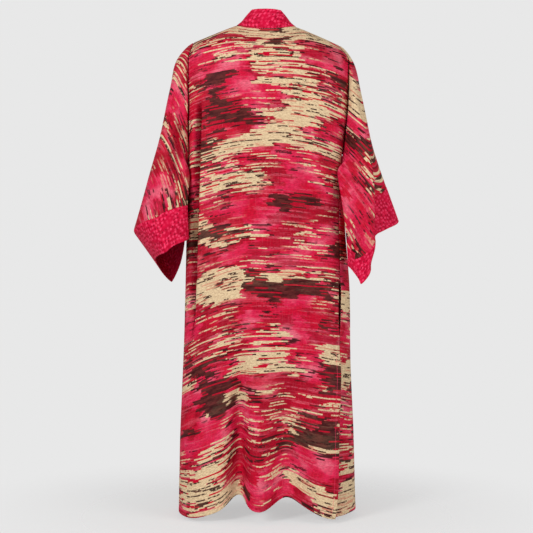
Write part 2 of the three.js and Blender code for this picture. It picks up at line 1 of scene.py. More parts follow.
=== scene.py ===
# A long kimono robe of streaked cloth, hollow and filled out as if worn, seen from behind.
# Lengths are in millimetres until a mesh is made. +Z is up, the front faces -Y and the wearer's left is +X.
import bpy
import math
import numpy as np
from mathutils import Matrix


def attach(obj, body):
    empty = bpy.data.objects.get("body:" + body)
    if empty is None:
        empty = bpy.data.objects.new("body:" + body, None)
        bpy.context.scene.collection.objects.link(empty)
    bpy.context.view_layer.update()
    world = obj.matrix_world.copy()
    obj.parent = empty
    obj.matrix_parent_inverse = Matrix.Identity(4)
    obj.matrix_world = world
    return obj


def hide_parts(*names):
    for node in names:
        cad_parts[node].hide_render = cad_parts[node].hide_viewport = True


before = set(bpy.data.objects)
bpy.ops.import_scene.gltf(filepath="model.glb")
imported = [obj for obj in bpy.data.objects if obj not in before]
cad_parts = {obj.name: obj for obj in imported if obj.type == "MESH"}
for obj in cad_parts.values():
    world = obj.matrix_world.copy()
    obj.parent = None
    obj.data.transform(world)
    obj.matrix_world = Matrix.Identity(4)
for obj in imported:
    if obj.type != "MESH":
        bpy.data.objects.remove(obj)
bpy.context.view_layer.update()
MM = 0.001

# Camera, floor and light: places and widths in metres, the lens and sensor in mm, power in watts
CAMERA_PLACE = (0, 3.0, -0.6)
LENS = 81.1
SENSOR = 36
FLOOR = -1.214
FLOOR_RADIUS = 2.4
FLOOR_SIDES = 96
BACKDROP = 0.807  # how bright the surroundings are to the camera
AMBIENT = 0.37  # and to the robe
AIM = (0, 0, -0.6)  # where both lamps point
KEY_LIGHT = ((1.8, 2.4, 0.4), 0.8, 64)  # place, width and power
FILL_LIGHT = ((-2.1, 1.7, 0.0), 1.6, 34)

# Thicknesses and gaps
CLOTH = 0.9  # a single cloth
BAND = 2.2  # the collar and cuffs, which are folded double
POCKET = 1.6
SEAM = 0.2  # how far a panel and the collar stay from their seam line
ARMHOLE_GAP = 0.7  # between a sleeve and the body

# How the four edges of each piece are finished. A vent is a seam down to the vent's top, and a hem below it.
BACK_EDGES = dict(top="seam", bottom="hem", start="vent", end="vent")
LEFT_FRONT_EDGES = dict(top="seam", bottom="hem", start="vent", end="seam")
RIGHT_FRONT_EDGES = dict(top="seam", bottom="hem", start="seam", end="vent")
COLLAR_EDGES = dict(top="fold", bottom="seam", start="fold", end="fold")
SLEEVE_EDGES = dict(top="seam", bottom="seam", start="seam", end="seam")
CUFF_EDGES = dict(top="seam", bottom="fold", start="seam", end="seam")
POCKET_EDGES = dict(top="hem", bottom="hem", start="hem", end="hem")

# Neck and shoulders
NECK_HALF = 73
NECK_BACK = 58
NECK_SIDE_Y = 12
NECK_DROP = 16
SHOULDER_HALF = 182
SLOPE_LEFT = 21
SLOPE_RIGHT = 22.5
LEAN = 4  # how much lower the right shoulder is
NECK_IN = 15  # the neck's form passes into the shoulder's from here inside the corner
NECK_OUT = 25  # to here outside it
SLEEVE_EASE = 40  # how far inside the armhole a sleeve's curve starts
COLLAR_WIDTH = 45

# Heights down the body
POCKET_TOP = -630
POCKET_LOW = -780
VENT_TOP = -805
SWING_TOP = -700
HEM = -1180

# Pockets
MOUTH_EASE = 25  # over what height a pocket's mouth opens
MOUTH_CLOSE = 60  # and closes
POCKET_GAPE = 9
POCKET_WIDTH = 1 / 3  # of the front's width
POCKET_TAPER = 0.3  # how much of its width it loses at its lower end
POCKET_ABOVE = 30  # how far it reaches above its mouth
POCKET_BELOW = 45
POCKET_SEAT = 0.8  # its gap to the front at the mouth
POCKET_INSET = 7  # how far in it lies away from the mouth

# Vents
VENT_EASE = 70  # over what height it opens
VENT_LIFT = 9  # how far the back lifts at the right vent
LIFT_REACH = 34
VENT_SINK = 30  # how far the right front sinks in there
SINK_REACH = 42
VENT_GAPE = 12  # how wide the left vent gapes

# Edges
EDGE_REACH = 26  # how far in from an edge the cloth gives when the edge is drawn back
EDGE_COLUMNS = 10  # in from an edge, to tell which way it is drawn
ARM_SINK = 5  # how far the body sinks in at the armholes
ARM_REACH = 16
CURL = 1.3  # how far a seam's edges turn in
CURL_REACH = 1.2
PUCKER = 0.22  # of a hem, along its stitches
PUCKER_PLACE = 11
PUCKER_REACH = 7
GATHER = 0.18  # of a seam
GATHER_REACH = 8
FAR = 1000.0  # from an edge of another kind
STITCH = 12  # from a hem to its stitches
HEM_PLACES = (0, 0.6, 1.4, 11.4, 12.4, 13.4)  # distances from a hem
HEM_THICK = (0.5, 1.5, 1.9, 1.7, 0.6, CLOTH)  # and the thickness at each, of cloth that is turned double
SEAM_PLACES = (0, 0.5, 1.2)  # distances from a seam or a fold
SEAM_SHARES = (0.5, 0.8, 1.0)  # of the thickness, at a seam
FOLD_SHARES = (0.35, 0.8, 1.0)  # and at a fold

# The levels of the body, as in the solids
LEVEL_NAMES = ("z", "dropLeft", "dropRight", "left", "right", "yBack", "ySide", "yFront", "square",
               "seamLeft", "seamRight", "holeLeft", "holeRight", "lap", "neckX")
LEVEL_ROWS = [
    (-60, 30, 30, 217, 217, 84, 5, -76, 0.85, 62, 70, 118, 114, 0, 72),
    (-165, 40, 36, 216, 215, 106, 5, -106, 0.85, 62, 70, 118, 114, 0, 67),
    (-280, 42, 36, 201, 201, 104, 4, -120, 0.85, 76, 72, 110, 106, 0, 59),
    (-345, 42, 30, 197, 195, 100, 3, -118, 0.85, 97, 70, 97, 70, 0, 54),
    (-480, 40, 20, 198, 196, 92, 2, -102, 0.85, 98, 64, 98, 64, 0, 50),
    (-625, 50, 18, 202, 206, 102, 0, -110, 0.84, 99, 59.5, 99, 59.5, 0, 50),
    (-800, 66, 24, 207, 209, 112, 0, -118, 0.84, 99, 55.5, 99, 55.5, 0, 51),
    (-985, 62, 30, 207, 214, 120, 0, -124, 0.84, 99, 43, 99, 43, 3, 54),
    (-1176, 24, 22, 208, 218, 130, 0, -130, 0.84, 99, 34, 99, 34, 5, 58),
]
LEVELS = [dict(zip(LEVEL_NAMES, row)) for row in LEVEL_ROWS]
ARMPIT = 4
LAST = len(LEVELS)

# Folds: x at the upper and lower end, z of both, height, half width, grow, fade
BACK_FOLDS = [
    ((168, 160), (-760, HEM), 24, 49, 420, 0),
    ((60, 62), (-640, HEM), -30, 17, 520, 0),
    ((70, 84), (-640, HEM), -30, 17, 520, 0),
    ((22, 16), (-760, HEM), 15, 30, 400, 0),
    ((-44, -52), (-680, HEM), -30, 37, 480, 0),
    ((-128, -146), (-740, HEM), 28, 46, 420, 0),
    ((163, 183), (-190, -800), -42, 5, 70, 200),
    ((174, 194), (-190, -800), 5, 9, 70, 200),
    ((154, 174), (-190, -800), 4, 9, 70, 200),
    ((-92, -98), (-90, -640), -5, 16, 120, 240),
]
FRONT_FOLDS = [
    ((176, 172), (-780, HEM), 18, 30, 400, 0),
    ((120, 126), (-560, HEM), -24, 26, 560, 0),
    ((84, 88), (-600, HEM), 12, 22, 560, 0),
    ((-84, -90), (-620, HEM), 13, 22, 520, 0),
    ((-122, -130), (-560, HEM), -25, 27, 560, 0),
]
HEM_SWING = 0.7
TURN = 25

# Sleeve rings: outer, back, inner, front, sharp, dent
SLEEVE_LEFT = [
    ((222, 0, -86), (212, 66, -205), (204, -8, -389), (212, -66, -205), 1, None),
    ((240, 0, -160), (224, 78, -255), (206, -6, -392), (224, -78, -255), 1, None),
    ((264, 0, -276), (238, 92, -345), (206, -4, -412), (240, -90, -372), 1, None),
    ((295, 4, -388), (252, 100, -408), (205, 4, -432), (256, -98, -462), 1.05, None),
    ((330, 8, -511), (264, 102, -471), (204, 14, -452), (262, -100, -552), 1.25, None),
    ((277, 0, -583), (240, 116, -556), (205, 6, -530), (237, -112, -640), 1.4, None),
]
SLEEVE_RIGHT = [
    ((214, 0, -90), (212, 70, -215), (203, 10, -379), (211, -62, -205), 1, None),
    ((235, 0, -170), (222, 82, -262), (205, 14, -385), (222, -76, -258), 1, None),
    ((259, -4, -276), (240, 98, -378), (209, 34, -428), (236, -86, -350), 1, (-3, -6, 6)),
    ((279, -10, -340), (242, 104, -470), (211, 48, -474), (246, -92, -402), 1.05, (-10, -14, 20)),
    ((300, -14, -400), (244, 102, -572), (209, 56, -512), (254, -94, -448), 1.2, (-22, -12, 30)),
    ((332, -20, -487), (247, 100, -640), (203, 60, -588), (262, -104, -540), 1.2, (-27, 4, 30)),
]
# Sleeve folds: angle, half width in degrees, move, from, to, fade
LEFT_SLEEVE_FOLDS = [
    (95, 48, (-6, 7, 0), 0.0, 0.35, 1.4),
    (62, 9, (-4, -8, 0), 0.25, 1.4, 3.2),
    (118, 10, (2, -9, 0), 0.6, 2.2, 5.4),
    (140, 22, (-24, 8, 0), 1.0, 2.6, 0),
    (80, 44, (0, 0, -10), 3.5, 5, 0),
    (270, 40, (8, 0, 0), 5, 6, 0),
]
RIGHT_SLEEVE_FOLDS = [
    (95, 48, (-5, 6, 0), 0.0, 0.35, 1.4),
    (78, 11, (14, 6, 4), 1.3, 4, 0),
    (94, 16, (-28, -2, -10), 4, 5, 6.5),
    (70, 14, (10, 0, 2), 4, 5, 0),
    (76, 20, (-22, 0, 0), 5, 6, 0),
    (134, 28, (-3, -22, 0), 3.8, 5, 0),
    (138, 24, (0, 0, 22), 5, 6, 0),
    (48, 10, (-21, -8, 2), 1.5, 4, 0),
    (56, 12, (-8, 0, 0), 4, 5, 0),
    (148, 20, (-36, 6, 0), 0.5, 2.3, 7),
]
# Sharp short creases seen from behind: from and to as (x, z), depth, half width
CREASES_BEHIND = (20, 45)  # the y from which they show, and from which they show in full
BACK_CREASES = [
    ((118, -96), (172, -150), -2.0, 9),
    ((-120, -98), (-176, -160), -2.2, 9),
    ((-150, -300), (-60, -345), -1.6, 14),
    ((60, -250), (-30, -268), -1.2, 18),
    ((120, -420), (20, -452), -1.6, 16),
    ((-172, -470), (-110, -520), -2.4, 10),
    ((-60, -560), (40, -590), -1.4, 18),
    ((178, -610), (120, -668), -2.4, 11),
    ((-176, -640), (-120, -700), -2.6, 11),
]
SLEEVE_CREASES = [
    ((213, -122), (209, -208), -5.0, 5),
    ((204, -250), (232, -330), -3.0, 9),
    ((262, -330), (236, -420), -2.4, 10),
    ((-248, -290), (-220, -340), -3.6, 4.5),
    ((-214, -150), (-236, -250), -2.6, 8),
    ((-226, -470), (-216, -560), -3.0, 8),
]

# The collar's free edge: angle, x, y, z round the neck, and inward, forward, up down the fronts
COLLAR_TOP = [
    (0, 0, 51, 33.5), (24, 20, 49, 33.5), (42, 35, 43, 33),
    (58, 44, 32, 26), (74, 53, 18, 18), (90, 60, 2, 11.5),
]
COLLAR_FRONT = [(34, 18, 22), (43, 9, 9), (44.5, 4, 3)]

COLLAR_BELLY = 1.4

# Unevenness of the cloth
QUIET = 60  # how far down from its top a piece becomes uneven
SLEEVE_UNEVEN = 0.8  # share of it on the sleeves
COLLAR_UNEVEN = 0.5

# How finely each piece is divided: across and down, and for a sleeve and the collar a third count
BACK_GRID = (156, 200)
TUCK_PLACE = (0.68, 0.94)  # share of the left half's width where the tuck runs
TUCK_STEPS = 44
FRONT_GRID = (54, 220)
SLEEVE_GRID = (144, 84, 26)
COLLAR_GRID = (60, 230, 16)
FINE = 400  # points of a curve that is measured
SEAM_STEPS = np.array([0.5, 1.2, 2.4])  # places of the finest cells, from an edge
HEM_STEPS = np.array(HEM_PLACES[1:])
SIDE_STEPS = np.array([0.6, 1.3, 2.4, 11.4, 12.4, 13.4])
# Rough lengths in mm that turn these places into shares: the first and last level of a panel, half the back,
# a front, a degree round a sleeve, its first and last ring, and the cuff
TOP_LEVEL = 70
HEM_LEVEL = 191
BACK_HALF = 210
FRONT_WIDTH = 220
ARM_DEGREE = 2
TOP_RING = 40
LAST_RING = 100
CUFF_RING = 80

# Print on the sleeves
SLEEVE_TOP = 90  # how far down the streaks have their upper lean
SLEEVE_FALL = 420  # and how much lower they have their lower lean
DEPTH_PASSES = 60  # of smoothing the sleeve's depth from front to back
DEPTH_SHIFT = 32  # how far the print moves over with that depth, at most
DEPTH_REACH = 45
LAYOUT_SLANT = 2.3  # how far the layout moves across for each mm that it moves along
# Direction of the print: lean outward for each mm down, upper and lower, and where the layout starts
LEFT_LAY = ((-0.53, -0.26), 3410)
RIGHT_LAY = ((1.3, 0.7), -2310)
FRONT_LEFT_START = 900
FRONT_RIGHT_START = 1900
POCKET_START = 300


def lerp(a, b, t):
    return a + (b - a) * t


def smoothstep(x, low, high):
    t = np.clip((x - low) / (high - low), 0, 1)
    return t * t * (3 - 2 * t)


def point(*xyz):
    return np.array(xyz, float)


def size(v):
    return np.linalg.norm(v, axis=-1, keepdims=True)


# Even places from 0 to end, with some more close to either edge, at distances as shares of the length.
def places(end, count, start_edge=(), last_edge=()):
    at = np.linspace(0, end, count + 1)
    extra = np.concatenate([np.array(start_edge, float), end - np.array(last_edge, float)])
    step = end / count
    kept = [a for a in at if a in (0, end) or not len(extra) or np.min(np.abs(extra - a)) > 0.3 * step]
    return np.unique(np.concatenate([kept, extra]))


# Points of a fine curve, taken at shares of its length.
def evenly(points, t):
    along = np.concatenate([[0], np.cumsum(size(np.diff(points, axis=0))[:, 0])])
    return np.stack([np.interp(t * along[-1], along, points[:, k]) for k in range(3)], -1)


# A point of one of the body's rings, at degrees from the middle of the back.
def ring_point(level, side, degrees):
    a = np.radians(degrees)
    sine = np.clip(np.sin(a), 0, 1)
    out = sine ** level["square"] * level["left" if side > 0 else "right"]
    reach = np.abs(np.cos(a)) ** level["square"]
    y = lerp(level["ySide"], np.where(a < math.pi / 2, level["yBack"], level["yFront"]), reach)
    drop = level["dropLeft" if side > 0 else "dropRight"]
    return np.stack([side * out, y, level["z"] - drop * sine ** 2], -1)


# How much lower the shoulder line lies there than on a level figure.
def lean(side, degrees):
    return 0 * degrees if side > 0 else LEAN * np.sin(np.radians(degrees)) ** 2


# A point of the shoulder seam, from its outer end at 0 to the neck at 1.
def shoulder_point(side, t):
    x = lerp(SHOULDER_HALF, NECK_HALF, t)
    slope = math.tan(math.radians(SLOPE_LEFT if side > 0 else SLOPE_RIGHT))
    return np.stack([side * x, NECK_SIDE_Y * t, -lean(side, 90.0) - (x - NECK_HALF) * slope], -1)


# A point of the neck's edge, at degrees from the middle of the back to the shoulder seam.
def neck_point(side, degrees):
    a = np.radians(degrees)
    z = -NECK_DROP * np.cos(a) ** 2 - lean(side, degrees)
    return np.stack([side * NECK_HALF * np.sin(a), lerp(NECK_SIDE_Y, NECK_BACK, np.cos(a)), z], -1)


# A smooth value between b and c, with a before them and d after them.
def glide(a, b, c, d, t):
    return b + (t / 2) * (c - a + t * (2 * a - 5 * b + 4 * c - d + t * (3 * (b - c) + d - a)))


# The body's level at s, between two rows of the table.
def level_at(s):
    i = min(int(s), LAST - 1)
    rows = [LEVELS[min(max(k, 1), LAST) - 1] for k in (i - 1, i, i + 1, i + 2)]
    level = {}
    for name in LEVEL_NAMES:
        a, b, c, d = (row[name] for row in rows)
        straight = name.startswith(("hole", "seam")) or name == "lap"
        level[name] = lerp(b, c, s - i) if straight else glide(a, b, c, d, s - i)
    return level


# Where on a ring the front's free edge lies, in degrees.
def front_angle(level, side):
    half = level["left" if side > 0 else "right"]
    return 180 - math.degrees(math.asin((level["neckX"] / half) ** (1 / level["square"])))


# Points of a panel at level s, at shares t of its width.
def panel_ring(part, side, s, t):
    level = level_at(s)
    fine = np.linspace(0, 1, FINE + 1)
    if part == "back":
        end = level["seamLeft"] if side > 0 else level["seamRight"] + level["lap"]
        return evenly(ring_point(level, side, fine * end), t)
    start = level["holeLeft" if side > 0 else "holeRight"]
    return evenly(ring_point(level, side, lerp(start, front_angle(level, side), fine)), t)


# Points of a panel's top edge: the shoulder seam, and for the back the neck's edge too.
def panel_top(part, side, t):
    fine = np.linspace(0, 1, FINE + 1)
    if part == "front":
        return evenly(shoulder_point(side, fine), t)
    neck = neck_point(side, 180 * fine[: FINE // 2])
    return evenly(np.concatenate([neck, shoulder_point(side, 2 - 2 * fine[FINE // 2:])]), t)


# A smooth curve between the points b and c, which allows for how far apart the four lie.
def glide_point(a, b, c, d, t):
    k1 = np.sqrt(size(b - a)) + 1e-6
    k2 = k1 + np.sqrt(size(c - b)) + 1e-6
    k3 = k2 + np.sqrt(size(d - c)) + 1e-6
    at = lerp(k1, k2, t)
    mix = lambda p, q, low, high: lerp(p, q, (at - low) / (high - low))
    ab, bc, cd = mix(a, b, 0, k1), mix(b, c, k1, k2), mix(c, d, k2, k3)
    return mix(mix(ab, bc, 0, k2), mix(bc, cd, k1, k3), k1, k2)


# A panel's row at s, without its folds.
def panel_row(part, side, s, t):
    if s >= 1:
        return panel_ring(part, side, s, t)
    edge, first, second = panel_top(part, side, t), panel_ring(part, side, 1, t), panel_ring(part, side, 2, t)
    facing = 1 if part == "back" else -1
    straight = 2 * edge - first
    over = np.stack([first[:, 0], 2 * edge[:, 1] - first[:, 1], first[:, 2]], -1)
    from_middle = np.abs(edge[:, :1])
    shoulder = smoothstep(from_middle, NECK_HALF - NECK_IN, NECK_HALF + NECK_OUT)
    edge = edge + point(0, facing * SEAM, 0) * smoothstep(from_middle, NECK_HALF - NECK_IN, NECK_HALF)
    return glide_point(lerp(straight, over, shoulder), edge, first, second, s)


# A place on the smooth curve through a list of points.
def through(points, s, before):
    last = len(points) - 1
    i = min(int(s), last - 1)
    past = points[i + 2] if i + 2 <= last else 2 * points[last] - points[last - 1]
    return glide_point(points[i - 1] if i else before, points[i], points[i + 1], past, s - i)


# How far a table of folds lifts the cloth at each point.
def fold_sum(folds, p):
    total = np.zeros(p.shape[:-1])
    x, z = p[..., 0], p[..., 2]
    for (x0, x1), (z0, z1), height, half, grow, fade in folds:
        line = lerp(x0, x1, np.clip((z - z0) / (z1 - z0), 0, 1))
        grown = smoothstep(z0 - z, 0, grow)
        left = 1 - smoothstep(z1 + fade - z, 0, fade) if fade else 1
        total += height * grown * left * np.exp(-(((x - line) / half) ** 2))
    return total


# The folds of the back, and those of the front where the cloth has turned to the front.
def lift(p):
    return lerp(fold_sum(FRONT_FOLDS, p), fold_sum(BACK_FOLDS, p), smoothstep(p[..., 1], -TURN, TURN))


# How much lower the cloth hangs near the hem because of its folds.
def swing(p):
    return HEM_SWING * lift(p) * smoothstep(-p[..., 2], -SWING_TOP, -HEM)


# The outward direction of the cloth at each point.
def normals(rows):
    across = np.gradient(rows, axis=1)
    down = np.gradient(rows, axis=0)
    n = np.cross(across, down)
    return n / np.maximum(size(n), 1e-9)


def moved(rows, distance):
    return rows + normals(rows) * np.asarray(distance)[..., None]


# How far each point lies from the start of its row or column, along the cloth.
def run(rows, axis):
    step = size(np.diff(rows, axis=axis))[..., 0]
    total = np.cumsum(step, axis=axis)
    shape = list(total.shape)
    shape[axis] = 1
    return np.concatenate([np.zeros(shape), total], axis=axis)


def folded(rows):
    result = moved(rows, lift(rows))
    result[..., 2] -= swing(rows)
    return result


# Draws an edge of a panel back: a little at a seam, and more at a pocket's mouth and down the left vent.
def draw_back(rows, from_start):
    rows = rows if from_start else rows[:, ::-1]
    edge = rows[:, 0]
    z = edge[:, 2]
    vent = np.where(edge[:, 0] > 0, VENT_GAPE * smoothstep(-z, -VENT_TOP, -HEM), 0)
    opened = smoothstep(-z, -POCKET_TOP, MOUTH_EASE - POCKET_TOP)
    mouth = POCKET_GAPE * opened * (1 - smoothstep(-z, -POCKET_LOW - MOUTH_CLOSE, -POCKET_LOW))
    amount = SEAM + (mouth + vent) / 2
    inner = rows[:, EDGE_COLUMNS] - edge
    inner = inner / size(inner)
    give = 1 - smoothstep(run(rows, 1), 0, EDGE_REACH)
    rows = rows + inner[:, None] * (amount[:, None] * give)[..., None]
    return rows if from_start else rows[:, ::-1]


# The cloth sinks towards the armhole's seam, from a panel's edge inwards.
def sink_armhole(rows, s, from_start):
    across = run(rows, 1)
    away = across if from_start else across[:, -1:] - across
    share = smoothstep(s, 0, 0.6) * (1 - smoothstep(s, ARMPIT - 0.7, ARMPIT))
    return moved(rows, -ARM_SINK * share[:, None] * np.exp(-((away / ARM_REACH) ** 2)))


# Short creases that are seen from behind, each a soft line from one place to another.
def creased(rows, creases):
    x, z = rows[..., 0], rows[..., 2]
    total = np.zeros(x.shape)
    for (x0, z0), (x1, z1), height, half in creases:
        length = math.hypot(x1 - x0, z1 - z0)
        along = ((x - x0) * (x1 - x0) + (z - z0) * (z1 - z0)) / length
        away = ((x - x0) * (z1 - z0) - (z - z0) * (x1 - x0)) / length
        ends = smoothstep(along, -half, length * 0.35) * (1 - smoothstep(along, length * 0.5, length + half))
        total += height * ends * np.exp(-((away / half) ** 2))
    return moved(rows, total * smoothstep(rows[..., 1], *CREASES_BEHIND))


# The slight unevenness of hanging cloth, as a distance off it.
def unevenness(rows, seed):
    across, down = run(rows, 1), run(rows, 0)
    a = np.sin(across / 31 + down / 190 + seed) * np.sin(down / 83 + seed * 2.3)
    b = np.sin(across / 19 - down / 150 + seed * 1.7) * np.sin(down / 57 + across / 240 + seed)
    c = np.sin(across / 47 + np.sin(down / 120 + seed) * 1.4) * np.sin(down / 300 + seed * 0.6)
    return 0.55 * a + 0.35 * b + 0.9 * c


def uneven(rows, seed, share=1.0):
    quiet = smoothstep(run(rows, 0), 0, QUIET)
    return moved(rows, share * quiet * unevenness(rows, seed))


# The back, from its right edge to its left, with the lift at the right vent.
def back_rows():
    across, down = BACK_GRID
    t = places(1, across // 2, last_edge=SIDE_STEPS / BACK_HALF)
    t_left = np.unique(np.concatenate([t, np.linspace(*TUCK_PLACE, TUCK_STEPS)]))
    levels = places(LAST, down, SEAM_STEPS / TOP_LEVEL, HEM_STEPS / HEM_LEVEL)
    rows = []
    for s in levels:
        right = panel_row("back", -1, s, t)[::-1]
        left = panel_row("back", 1, s, t_left)
        rows.append(np.concatenate([right[:-1], left]))
    rows = folded(np.array(rows))
    edge = rows[:, :1]
    open_share = smoothstep(-rows[..., 2], -VENT_TOP, VENT_EASE - VENT_TOP)
    near = np.exp(-((size(rows - edge)[..., 0] / LIFT_REACH) ** 2))
    rows = moved(rows, VENT_LIFT * open_share * near)
    rows = draw_back(draw_back(rows, True), False)
    rows = sink_armhole(sink_armhole(rows, levels, True), levels, False)
    return uneven(creased(rows, BACK_CREASES), 0.4), levels


# One front. The right one sinks in at its vent.
def front_rows(side):
    across, down = FRONT_GRID
    t = places(1, across, SIDE_STEPS / FRONT_WIDTH, SEAM_STEPS / FRONT_WIDTH)
    t = t if side > 0 else t[::-1]
    levels = places(LAST, down, SEAM_STEPS / TOP_LEVEL, HEM_STEPS / HEM_LEVEL)
    rows = folded(np.array([panel_row("front", side, s, t) for s in levels]))
    if side < 0:
        edge = rows[:, -1:]
        open_share = smoothstep(-edge[..., 2], -VENT_TOP, -HEM)
        near = np.exp(-((size(rows - edge)[..., 0] / SINK_REACH) ** 2))
        rows = moved(rows, -VENT_SINK * open_share * near)
    rows = sink_armhole(draw_back(rows, side > 0), levels, side > 0)
    return uneven(rows, 2.0 + side), levels


# Points of a sleeve ring, at degrees from its outer corner round by the back.
def sleeve_point(ring, side, degrees):
    corners = [point(side * c[0], c[1], c[2]) for c in ring[:4]]
    middle = sum(corners) / 4
    degrees = np.mod(degrees, 360)
    quarter = (degrees // 90).astype(int) % 4
    t = np.radians(np.mod(degrees, 90))
    table = np.array(corners) - middle
    first, second = table[quarter], table[(quarter + 1) % 4]
    result = middle + first * (np.cos(t) ** ring[4])[:, None] + second * (np.sin(t) ** ring[4])[:, None]
    if ring[5]:
        dent = point(side * ring[5][0], ring[5][1], ring[5][2])
        result = result + dent * np.where(quarter == 0, np.sin(2 * t) ** 2, 0)[:, None]
    return result


# The armhole at angles round it: down the back's edge to the armpit and up the front's.
def armhole(side, back, front, degrees):
    (back_cloth, back_levels), (front_cloth, front_levels) = back, front
    back_edge = back_cloth[:, -1 if side > 0 else 0]
    front_edge = front_cloth[:, 0 if side > 0 else -1]
    turned = np.mod(degrees, 360)
    s = ARMPIT * np.where(turned <= 180, turned, 360 - turned) / 180
    behind = np.stack([np.interp(s, back_levels, back_edge[:, k]) for k in range(3)], -1)
    before = np.stack([np.interp(s, front_levels, front_edge[:, k]) for k in range(3)], -1)
    points = np.where((turned <= 180)[:, None], behind, before)
    return points + point(side * ARMHOLE_GAP, 0, 0)


# How far a table of folds moves a sleeve's ring at s.
def sleeve_move(folds, side, degrees, s):
    total = np.zeros((len(degrees), 3))
    for angle, half, move, start, end, fade in folds:
        away = np.mod(degrees - angle + 540, 360) - 180
        grown = smoothstep(s, start, end) * (1 - smoothstep(s, end, fade) if fade else 1)
        total += point(side * move[0], move[1], move[2]) * (grown * np.exp(-((away / half) ** 2)))[:, None]
    return total


# A sleeve with its cuff as one tube, cut open along its seam underneath, and the row where the cuff begins.
def arm_rows(side, rings, folds, back, front):
    around, down, cuff = SLEEVE_GRID
    degrees = places(360, around, SEAM_STEPS / ARM_DEGREE, SEAM_STEPS / ARM_DEGREE) - 180
    degrees = -degrees if side > 0 else degrees
    hole = armhole(side, back, front, degrees)
    points = [hole] + [sleeve_point(ring, side, degrees) for ring in rings]
    before = hole - point(side * SLEEVE_EASE, 0, 0)
    main = len(rings) - 1
    sleeve_places = places(main, down, SEAM_STEPS / TOP_RING, SEAM_STEPS / LAST_RING)
    cuff_places = main + places(1, cuff, SEAM_STEPS / CUFF_RING, SEAM_STEPS / CUFF_RING)[1:]
    rows = []
    for s in [*sleeve_places, *cuff_places]:
        p = through(points[:-1], s, before) if s <= main else lerp(points[-2], points[-1], s - main)
        rows.append(p + sleeve_move(folds, side, degrees, s))
    rows = creased(np.array(rows), SLEEVE_CREASES)
    return uneven(rows, 4.0 + side, SLEEVE_UNEVEN), len(sleeve_places) - 1


# The collar's seam and free edge: where is 0 at the middle of the back, 1 at the shoulder and 2 at the hem.
def collar_column(side, where):
    if where <= 1:
        degrees = 90 * where
        i = max(1, next(k for k, row in enumerate(COLLAR_TOP) if row[0] >= degrees - 1e-6))
        a, b = np.array(COLLAR_TOP[i - 1], float), np.array(COLLAR_TOP[i], float)
        row = lerp(a, b, (degrees - a[0]) / (b[0] - a[0]))
        return neck_point(side, degrees), point(side * row[1], row[2], row[3] - lean(side, degrees))
    s = (where - 1) * LAST
    seam = panel_row("front", side, s, np.array([1.0]))[0]
    last = COLLAR_TOP[-1]
    table = [(NECK_HALF - last[1], NECK_SIDE_Y - last[2], last[3]), *COLLAR_FRONT, (COLLAR_WIDTH, 2, 0)]
    i = min(int(s), len(table) - 2)
    here, after = np.array(table[i], float), np.array(table[i + 1], float)
    inward, forward, up = lerp(here, after, smoothstep(s - i, 0, 1))
    seam = seam - point(0, lift(seam), swing(seam))
    return seam, seam + point(-side * inward, -forward, up)


def collar_rows():
    neck, down, across = COLLAR_GRID
    half = [i / neck for i in range(neck + 1)] + [1 + i / down for i in range(1, down + 1)]
    columns = [collar_column(-1, w) for w in half[:0:-1]] + [collar_column(1, w) for w in half]
    seam, free = (np.array([c[k] for c in columns]) for k in (0, 1))
    share = 1 - SEAM / COLLAR_WIDTH
    at = places(1, across, SEAM_STEPS / COLLAR_WIDTH, SEAM_STEPS / COLLAR_WIDTH)
    rows = np.array([lerp(free, seam, share * t) for t in at])
    belly = COLLAR_BELLY * np.sin(math.pi * at)[:, None] * np.ones(rows.shape[1])
    return moved(rows, -belly + COLLAR_UNEVEN * unevenness(rows, 7.0) * np.sin(math.pi * at)[:, None])


# A pocket behind a front: close to it at the mouth, and further behind it away from the mouth.
def pocket_rows(side, front):
    cells = front if side > 0 else front[:, ::-1]
    z = cells[:, 0, 2]
    chosen = cells[(z < POCKET_TOP + POCKET_ABOVE) & (z > POCKET_LOW - POCKET_BELOW)]
    wide = round(FRONT_GRID[0] * POCKET_WIDTH)
    rows = []
    for k, (row, along) in enumerate(zip(chosen, run(chosen, 1))):
        down = k / (len(chosen) - 1)
        width = 1 - POCKET_TAPER * smoothstep(down, 0.7, 1)
        at = np.linspace(0, 1, wide + 1) * along[-1] * POCKET_WIDTH * width
        rows.append(np.stack([np.interp(at, along, row[:, c]) for c in range(3)], -1))
    rows = np.array(rows)
    rows = rows if side > 0 else rows[:, ::-1]
    away = np.linspace(0, 1, wide + 1)
    away = away if side > 0 else away[::-1]
    seat = (CLOTH + POCKET) / 2 + POCKET_SEAT
    inset = lerp(seat, POCKET_INSET, smoothstep(away, 0, 0.6))
    return moved(rows, -inset[None] * np.ones(rows.shape[:2]))


# How far each point lies from the nearest seam, hem and folded edge, and its place along the nearest hem.
def edge_distances(rows, top, bottom, start, end):
    across, down = run(rows, 1), run(rows, 0)
    edges = (
        (top, down, across, None),
        (bottom, down[-1:] - down, across, None),
        (start, across, down, rows[:, :1, 2] < VENT_TOP),
        (end, across[:, -1:] - across, down, rows[:, -1:, 2] < VENT_TOP),
    )
    seam, hem, fold = (np.full(across.shape, FAR) for _ in range(3))
    along = across
    for kind, distance, place, in_vent in edges:
        from_seam = np.where(in_vent, FAR, distance) if kind == "vent" else distance
        from_hem = np.where(in_vent, distance, FAR) if kind == "vent" else distance
        if kind in ("seam", "vent"):
            seam = np.minimum(seam, from_seam)
        if kind in ("hem", "vent"):
            along = np.where(from_hem < hem, place, along)
            hem = np.minimum(hem, from_hem)
        if kind == "fold":
            fold = np.minimum(fold, distance)
    return seam, hem, fold, along


